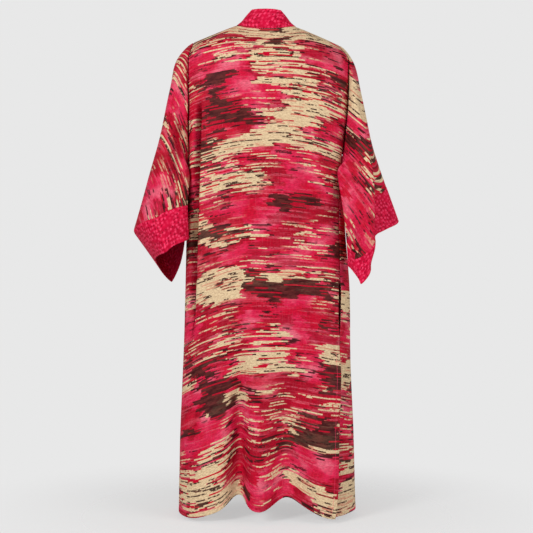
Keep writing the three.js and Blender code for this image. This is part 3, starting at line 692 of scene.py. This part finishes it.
# Shapes the edges of a piece: a seam turns in, a hem is turned double, and a band ends in a fold. Gives the
# rows, the thickness, and each point's place along the nearest hem and distance from the nearest hem or fold.
def finish_edges(rows, thickness, kinds):
    seam, hem, fold, along = edge_distances(rows, **kinds)
    down = run(rows, 0)
    stitched = np.exp(-(((hem - PUCKER_PLACE) / PUCKER_REACH) ** 2))
    pucker = np.sin(along / 1.5 + 2 * np.sin(along / 17)) * stitched
    gather = np.sin(down / 2.1 + np.sin(down / 23)) * np.exp(-((seam / GATHER_REACH) ** 2))
    offset = -CURL * np.exp(-seam / CURL_REACH) + PUCKER * pucker + GATHER * gather
    thickness = np.full(down.shape, float(thickness))
    thickness = np.where(hem < HEM_PLACES[-1], np.interp(hem, HEM_PLACES, HEM_THICK), thickness)
    thickness *= np.interp(fold, SEAM_PLACES, FOLD_SHARES)
    thickness *= np.interp(seam, SEAM_PLACES, SEAM_SHARES)
    return moved(rows, offset), thickness, np.stack([along, np.minimum(hem, fold)], -1)


# A closed wall of cloth with the rows as its middle surface.
def wall(name, rows, thickness, uv, edge_uv, material):
    thickness = np.broadcast_to(thickness, rows.shape[:2])
    n = normals(rows) * thickness[..., None] / 2
    tall, wide = rows.shape[:2]
    points = np.concatenate([(rows + n).reshape(-1, 3), (rows - n).reshape(-1, 3)]) * MM
    grid = np.arange(tall * wide).reshape(tall, wide)
    under = grid + tall * wide
    a, b, c, d = grid[:-1, :-1], grid[:-1, 1:], grid[1:, 1:], grid[1:, :-1]
    outer = np.stack([a, b, c, d], -1).reshape(-1, 4)
    inner = outer[:, ::-1] + tall * wide
    rims = []
    for line, low in ((grid[0], under[0]), (grid[-1, ::-1], under[-1, ::-1]),
                      (grid[::-1, 0], under[::-1, 0]), (grid[:, -1], under[:, -1])):
        rims.append(np.stack([line[1:], line[:-1], low[:-1], low[1:]], -1))
    faces = np.concatenate([outer, inner, *rims])
    mesh = bpy.data.meshes.new(name)
    mesh.from_pydata(points.tolist(), [], faces.tolist())
    for layer_name, places_on in (("cloth", uv), ("edge", edge_uv)):
        layer = mesh.uv_layers.new(name=layer_name)
        flat = np.concatenate([places_on.reshape(-1, 2)] * 2) * MM
        layer.data.foreach_set("uv", flat[faces.ravel()].ravel())
    mesh.polygons.foreach_set("use_smooth", [True] * len(faces))
    mesh.materials.append(material)
    mesh.update()
    piece = bpy.data.objects.new(name + "_cloth", mesh)
    bpy.context.scene.collection.objects.link(piece)
    return piece


class Nodes:
    """Short calls for building a material's nodes."""

    def __init__(self, name):
        self.material = bpy.data.materials.new(name)
        self.material.use_nodes = True
        self.tree = self.material.node_tree
        self.shader = self.tree.nodes["Principled BSDF"]

    def put(self, socket, value):
        if isinstance(value, bpy.types.NodeSocket):
            self.tree.links.new(value, socket)
        else:
            socket.default_value = value

    def node(self, kind, inputs=(), **settings):
        node = self.tree.nodes.new(kind)
        for key, value in settings.items():
            setattr(node, key, value)
        for socket, value in dict(inputs).items():
            self.put(node.inputs[socket], value)
        return node

    def math(self, operation, *values):
        return self.node("ShaderNodeMath", dict(enumerate(values)), operation=operation).outputs[0]

    def add(self, *values):
        total = values[0]
        for value in values[1:]:
            total = self.math("ADD", total, value)
        return total

    def times(self, *values):
        total = values[0]
        for value in values[1:]:
            total = self.math("MULTIPLY", total, value)
        return total

    def over(self, value, length):
        return self.math("DIVIDE", value, float(length))

    def ramp(self, value, low, high, to_low=0.0, to_high=1.0):
        inputs = {"Value": value, "From Min": low, "From Max": high, "To Min": to_low, "To Max": to_high}
        return self.node("ShaderNodeMapRange", inputs, interpolation_type="SMOOTHSTEP").outputs[0]

    def join(self, x, y, z=0.0):
        return self.node("ShaderNodeCombineXYZ", {0: x, 1: y, 2: z}).outputs[0]

    def noise(self, x, y, seed, detail=2.0, roughness=0.5):
        inputs = {"Vector": self.join(x, y, seed), "Scale": 1.0, "Detail": detail, "Roughness": roughness}
        return self.node("ShaderNodeTexNoise", inputs).outputs[0]

    def white(self, x, seed):
        inputs = {"Vector": self.join(x, seed)}
        return self.node("ShaderNodeTexWhiteNoise", inputs, noise_dimensions="2D").outputs[0]

    # How far the nearest of many loosely set places is, in mm, and a random number for it.
    def cells(self, x, y, pitch, spread):
        vector = self.join(self.over(x, pitch), self.over(y, pitch))
        inputs = {"Vector": vector, "Scale": 1.0, "Randomness": spread}
        node = self.node("ShaderNodeTexVoronoi", inputs, voronoi_dimensions="2D")
        pick = self.node("ShaderNodeSeparateColor", {0: node.outputs["Color"]}).outputs[0]
        return self.times(node.outputs["Distance"], float(pitch)), pick

    def mix(self, factor, a, b, blend="MIX"):
        node = self.node("ShaderNodeMix", data_type="RGBA", blend_type=blend)
        self.put(node.inputs["Factor"], factor)
        for socket, value in (("A", a), ("B", b)):
            target = [s for s in node.inputs if s.name == socket and s.type == "RGBA"][0]
            self.put(target, value)
        return [s for s in node.outputs if s.type == "RGBA"][0]

    # Two coordinates of a UV map, in mm.
    def place(self, name):
        uv = self.node("ShaderNodeUVMap", uv_map=name).outputs[0]
        split = self.node("ShaderNodeSeparateXYZ", {0: uv})
        return [self.times(split.outputs[k], 1000.0) for k in (0, 1)]


def srgb(r, g, b):
    shares = (r / 255, g / 255, b / 255)
    linear = [c / 12.92 if c <= 0.04045 else ((c + 0.055) / 1.055) ** 2.4 for c in shares]
    return (*linear, 1.0)


CRIMSON = srgb(208, 0, 46)
DEEP = srgb(170, 0, 34)
PINK = srgb(228, 36, 84)
PALE_PINK = srgb(242, 122, 142)
CREAM = srgb(236, 210, 168)
SAND = srgb(208, 172, 134)
BROWN = srgb(58, 20, 20)
UMBER = srgb(96, 42, 38)
ROSE = srgb(208, 8, 58)
ROSE_DEEP = srgb(184, 0, 46)
ROSE_DARK = srgb(146, 0, 34)
ROSE_LIGHT = srgb(246, 66, 108)
WHITE = srgb(255, 255, 255)
GREY = srgb(186, 176, 176)
BLOT_PITCH = 9.2  # how far apart the contrast cloth's blots are
ROW = 3.4  # height of one row of the print
BLOCK = 10.2  # and of three rows together
BANDS = 375  # the bands of the print repeat after this


# The streaked print: rows dyed in ragged stretches of cream, brown and pink on crimson.
def streaked_cloth():
    k = Nodes("streaked_cloth")
    u, v = k.place("cloth")
    sway = k.noise(k.over(u, 170), k.over(v, 400), 3.1)
    v1 = k.add(v, k.times(sway, 22.0))
    row = k.math("FLOOR", k.over(v1, ROW))
    waver = k.times(k.noise(k.over(u, 60), k.over(v, 60), 5.0), 9.0)
    block = k.math("FLOOR", k.over(k.add(v1, waver), BLOCK))
    fine = k.times(row, ROW)
    coarse = k.times(block, BLOCK)
    u1 = k.add(u, k.times(k.white(block, 1.0), 34.0), k.times(k.white(row, 2.0), 11.0))
    band = k.math("SINE", k.over(coarse, BANDS / (2 * math.pi)))
    loose = k.ramp(k.noise(k.over(u, 260), k.over(v1, 150), 9.0, 1.0), 0.42, 0.66, 0.06, 1.0)

    # How strong a color is: broad patches with rows of streaks at their ends.
    def strength(seed, length, height, streak_length):
        patch = k.noise(k.over(u1, length), k.over(coarse, height), seed, 2.0, 0.42)
        streak = k.math("SUBTRACT", k.noise(k.over(u1, streak_length), k.over(fine, 6.2), seed + 3, 1.0), 0.5)
        return k.add(patch, k.times(streak, k.times(loose, 0.8)))

    def lines(seed, length, height, low, high):
        return k.ramp(k.noise(k.over(u1, length), k.over(fine, height), seed, 1.0), low, high)

    cream_strength = k.add(strength(11.0, 235, 92, 130), k.times(band, 0.035))
    cream = k.ramp(cream_strength, 0.546, 0.552)
    rim = k.times(k.ramp(cream_strength, 0.50, 0.515), k.math("SUBTRACT", 1.0, cream))
    brown = k.ramp(k.add(strength(37.0, 150, 74, 90), k.times(band, -0.02)), 0.606, 0.614)
    cluster = k.ramp(k.noise(k.over(u, 190), k.over(v1, 105), 57.0, 1.0), 0.47, 0.56)
    broken = k.ramp(k.noise(k.over(u, 7), k.over(v, 4), 59.0, 2.0), 0.36, 0.48)
    pale_line = k.times(lines(58.0, 95, 3.9, 0.572, 0.588), cluster, broken)
    rose_line = k.times(lines(63.0, 140, 3.8, 0.56, 0.64), broken)

    pinkish = k.ramp(k.noise(k.over(u1, 190), k.over(coarse, 135), 71.0, 1.5, 0.4), 0.492, 0.502)
    water = k.noise(k.over(u, 62), k.over(v1, 44), 73.0, 3.0, 0.55)
    base = k.mix(k.ramp(water, 0.32, 0.6), CRIMSON, PINK)
    base = k.mix(pinkish, k.mix(k.ramp(water, 0.36, 0.66), DEEP, CRIMSON), base)
    base = k.mix(k.times(pinkish, k.ramp(water, 0.52, 0.70), 0.6), base, PALE_PINK)
    deep = k.ramp(strength(77.0, 150, 60, 110), 0.585, 0.595)
    base = k.mix(k.times(deep, 0.75), base, DEEP)
    thread = k.ramp(k.noise(k.over(u1, 60), k.over(v, 1.6), 83.0, 2.0), 0.5, 0.74)
    down_thread = k.ramp(k.noise(k.over(u, 1.6), k.over(v, 50), 85.0, 2.0), 0.52, 0.74)
    base = k.mix(k.times(k.math("MAXIMUM", thread, down_thread), 0.14), base, PALE_PINK)
    base = k.mix(k.times(rose_line, 0.32), base, PALE_PINK)
    halo = k.times(k.ramp(cream_strength, 0.44, 0.54), k.ramp(water, 0.45, 0.62), 0.5)
    base = k.mix(halo, base, PALE_PINK)
    dark_cluster = k.ramp(k.noise(k.over(u, 120), k.over(v1, 70), 47.0, 1.0), 0.50, 0.58)
    base = k.mix(k.times(lines(67.0, 60, 4.2, 0.585, 0.60), dark_cluster, broken, 0.85), base, BROWN)
    base = k.mix(k.times(pale_line, 0.92), base, CREAM)
    base = k.mix(k.times(rim, lines(87.0, 80, 4.2, 0.56, 0.575), 0.95), base, BROWN)

    fleck = k.noise(k.over(u, 3.4), k.over(v, 2.2), 81.0, 3.0, 0.6)
    pale = k.mix(k.ramp(fleck, 0.44, 0.7, 0.0, 0.7), CREAM, SAND)
    pale = k.mix(k.times(lines(51.0, 62, 4.2, 0.585, 0.60), broken, 0.95), pale, BROWN)
    red_line = k.times(lines(61.0, 90, 4.4, 0.60, 0.615), k.ramp(loose, 0.1, 0.6, 0.4, 1.0))
    pale = k.mix(red_line, pale, CRIMSON)
    color = k.mix(cream, base, pale)
    smoke = k.ramp(k.noise(k.over(u, 34), k.over(fine, 7), 93.0, 2.0), 0.38, 0.62)
    dark = k.mix(smoke, UMBER, BROWN)
    dark = k.mix(k.times(lines(97.0, 90, 4.4, 0.58, 0.6), 0.8), dark, CRIMSON)
    color = k.mix(k.times(brown, 0.96), color, dark)
    mottle = k.noise(k.over(u, 7), k.over(v, 2.8), 101.0, 4.0, 0.65)
    shade = k.mix(k.ramp(mottle, 0.32, 0.68), GREY, WHITE)
    color = k.mix(0.7, color, shade, "MULTIPLY")
    finish_cloth(k, u, v, color)
    return k.material


# Weave, stitches and roughness, the same for both cloths.
def finish_cloth(k, u, v, color):
    weft = k.noise(k.over(u, 14), k.over(v, 0.55), 91.0, 2.0)
    warp = k.noise(k.over(u, 0.55), k.over(v, 14), 95.0, 2.0)
    weave = k.add(weft, warp)
    along, from_edge = k.place("edge")
    rise = k.ramp(from_edge, STITCH - 0.5, STITCH - 0.2)
    line = k.times(rise, k.ramp(from_edge, STITCH + 0.2, STITCH + 0.5, 1.0, 0.0))
    dash = k.ramp(k.math("PINGPONG", k.over(along, 1.5), 1.0), 0.22, 0.34)
    stitch = k.times(line, dash)
    color = k.mix(k.times(stitch, 0.8), color, ROSE_LIGHT)
    height = k.add(weave, k.times(stitch, 1.5))
    bump = k.node("ShaderNodeBump", {"Strength": 0.4, "Distance": 0.0004, "Height": height})
    k.put(k.shader.inputs["Base Color"], color)
    k.put(k.shader.inputs["Normal"], bump.outputs[0])
    k.put(k.shader.inputs["Roughness"], k.ramp(weave, 0.6, 1.4, 0.5, 0.68))
    k.shader.inputs["Specular IOR Level"].default_value = 0.08


# The contrast cloth: loosely set pink blots, some with a dark middle, and dark dots between them, on rose.
def trim_cloth():
    k = Nodes("trim_cloth")
    u, v = k.place("cloth")
    ragged = k.noise(k.over(u, 2.6), k.over(v, 2.6), 4.0, 2.0)
    near, pick = k.cells(u, v, BLOT_PITCH, 0.75)
    reach = k.add(near, k.times(k.math("SUBTRACT", ragged, 0.5), 5.0))
    cloud = k.noise(k.over(u, 22), k.over(v, 18), 8.0, 2.0)
    color = k.mix(k.ramp(cloud, 0.35, 0.65), ROSE, ROSE_DEEP)
    blot = k.times(k.ramp(reach, 1.2, 4.2, 1.0, 0.0), k.ramp(pick, 0.12, 0.55, 0.3, 1.0))
    color = k.mix(k.times(blot, 0.85), color, ROSE_LIGHT)
    color = k.mix(k.times(k.ramp(reach, 0.2, 0.9, 0.8, 0.0), k.ramp(pick, 0.6, 0.7)), color, ROSE_DARK)
    u1 = k.add(u, 0.5 * BLOT_PITCH)
    near, pick = k.cells(u1, k.add(v, 0.5 * BLOT_PITCH), BLOT_PITCH, 0.6)
    reach = k.add(near, k.times(k.math("SUBTRACT", ragged, 0.5), -3.0))
    dot = k.times(k.ramp(reach, 1.4, 2.6, 1.0, 0.0), k.ramp(pick, 0.4, 0.5))
    color = k.mix(k.times(dot, 0.95), color, ROSE_DARK)
    finish_cloth(k, u, v, color)
    return k.material


cloths = {"streaked_cloth": streaked_cloth(), "trim_cloth": trim_cloth()}


def dress(piece, node):
    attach(piece, "root")
    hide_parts(node)


# Places on the print, across and down a panel, from the middle of its rows or from one end.
def panel_uv(rows, start, down_from=0.0):
    u = run(rows, 1)
    zero = {"middle": u[:, rows.shape[1] // 2][:, None], "start": 0, "end": u[:, -1:]}[start]
    v = run(rows, 0)
    v = np.broadcast_to(v.mean(axis=1, keepdims=True), u.shape)
    return np.stack([u - zero, v + down_from], -1)


# Places on the print across and along a band.
def band_uv(rows):
    return np.stack([run(rows, 1), run(rows, 0)], -1)


# Places on the print of a sleeve, whose streaks run down it.
def sleeve_uv(rows, leans, offset):
    out = np.abs(rows[..., 0])
    down = -rows[..., 2] - SLEEVE_TOP
    depth = rows[..., 1]
    for _ in range(DEPTH_PASSES):
        depth = (np.roll(depth, 1, 1) + 2 * depth + np.roll(depth, -1, 1)) / 4
    top, low = leans
    drift = top * down + (low - top) * down**2 / (2 * SLEEVE_FALL)
    middle = (top + low) / 2
    scale = math.hypot(1, middle)
    v = (out - drift) / scale + DEPTH_SHIFT * np.tanh(depth / DEPTH_REACH)
    u = (out * middle + down) / scale
    return np.stack([u + offset, v + LAYOUT_SLANT * offset], -1)


# Makes one piece of the robe from its rows and lays it over its node.
def make(name, rows, uv, kinds, slot, thickness):
    rows, thick, edge_uv = finish_edges(rows, thickness, kinds)
    dress(wall(name, rows, thick, uv, edge_uv, cloths[slot]), name)


back = back_rows()
left_front = front_rows(1)
right_front = front_rows(-1)
collar = collar_rows()
left_print = panel_uv(left_front[0], "start", FRONT_LEFT_START)
right_print = panel_uv(right_front[0], "end", FRONT_RIGHT_START)
make("back", back[0], panel_uv(back[0], "middle"), BACK_EDGES, "streaked_cloth", CLOTH)
make("front_left", left_front[0], left_print, LEFT_FRONT_EDGES, "streaked_cloth", CLOTH)
make("front_right", right_front[0], right_print, RIGHT_FRONT_EDGES, "streaked_cloth", CLOTH)
make("collar_band", collar, band_uv(collar), COLLAR_EDGES, "trim_cloth", BAND)
ARMS = (
    (1, "left", SLEEVE_LEFT, LEFT_SLEEVE_FOLDS, left_front, LEFT_LAY),
    (-1, "right", SLEEVE_RIGHT, RIGHT_SLEEVE_FOLDS, right_front, RIGHT_LAY),
)
for side, name, rings, folds, front, lay in ARMS:
    arm, seam_row = arm_rows(side, rings, folds, back, front)
    sleeve = arm[: seam_row + 1]
    cuff = arm[seam_row:]
    pocket = pocket_rows(side, front[0])
    pocket_print = panel_uv(pocket, "start", POCKET_START)
    make("sleeve_" + name, sleeve, sleeve_uv(sleeve, *lay), SLEEVE_EDGES, "streaked_cloth", CLOTH)
    make("cuff_" + name, cuff, band_uv(cuff), CUFF_EDGES, "trim_cloth", BAND)
    make("pocket_" + name, pocket, pocket_print, POCKET_EDGES, "streaked_cloth", POCKET)


def set_camera():
    data = bpy.data.cameras.new("camera")
    data.lens = LENS
    data.sensor_width = SENSOR
    camera = bpy.data.objects.new("camera", data)
    camera.location = CAMERA_PLACE
    camera.rotation_euler = (math.pi / 2, 0, math.pi)
    bpy.context.scene.collection.objects.link(camera)
    bpy.context.scene.camera = camera


# A pale floor that only shows near the robe, for its shadow.
def set_floor():
    k = Nodes("floor")
    k.shader.inputs["Base Color"].default_value = (0.86, 0.86, 0.86, 1)
    k.shader.inputs["Roughness"].default_value = 0.9
    place = k.node("ShaderNodeTexCoord").outputs["Object"]
    far = k.node("ShaderNodeVectorMath", {0: place}, operation="LENGTH").outputs["Value"]
    shown = k.ramp(far, 0.2, 0.9, 0.4, 0.0)
    clear = k.node("ShaderNodeBsdfTransparent")
    mixed = k.node("ShaderNodeMixShader", {0: shown, 1: clear.outputs[0], 2: k.shader.outputs[0]})
    k.tree.links.new(mixed.outputs[0], k.tree.nodes["Material Output"].inputs[0])
    turn = [2 * math.pi * i / FLOOR_SIDES for i in range(FLOOR_SIDES)]
    mesh = bpy.data.meshes.new("floor")
    points = [(FLOOR_RADIUS * math.cos(a), FLOOR_RADIUS * math.sin(a), 0) for a in turn]
    mesh.from_pydata(points, [], [list(range(FLOOR_SIDES))])
    mesh.materials.append(k.material)
    floor = bpy.data.objects.new("floor", mesh)
    floor.location = (0, 0, FLOOR)
    bpy.context.scene.collection.objects.link(floor)


def area_light(name, place, width, power):
    data = bpy.data.lights.new(name, "AREA")
    data.shape = "SQUARE"
    data.size = width
    data.energy = power
    light = bpy.data.objects.new(name, data)
    light.location = place
    away = np.array(place, float) - np.array(AIM, float)
    flat = math.hypot(away[0], away[1])
    light.rotation_euler = (math.atan2(flat, away[2]), 0, math.atan2(away[0], -away[1]))
    bpy.context.scene.collection.objects.link(light)


# Soft light all round, which the camera sees brighter than the robe does, and two lamps.
def set_light():
    world = bpy.data.worlds.new("studio")
    world.use_nodes = True
    tree = world.node_tree
    seen = tree.nodes.new("ShaderNodeLightPath").outputs["Is Camera Ray"]
    strength = tree.nodes.new("ShaderNodeMapRange")
    strength.inputs["To Min"].default_value = AMBIENT
    strength.inputs["To Max"].default_value = BACKDROP
    tree.links.new(seen, strength.inputs["Value"])
    tree.links.new(strength.outputs[0], tree.nodes["Background"].inputs["Strength"])
    tree.nodes["Background"].inputs["Color"].default_value = (1, 1, 1, 1)
    bpy.context.scene.world = world
    area_light("key", *KEY_LIGHT)
    area_light("fill", *FILL_LIGHT)


set_camera()
set_floor()
set_light()
bpy.context.scene.view_settings.view_transform = "Standard"
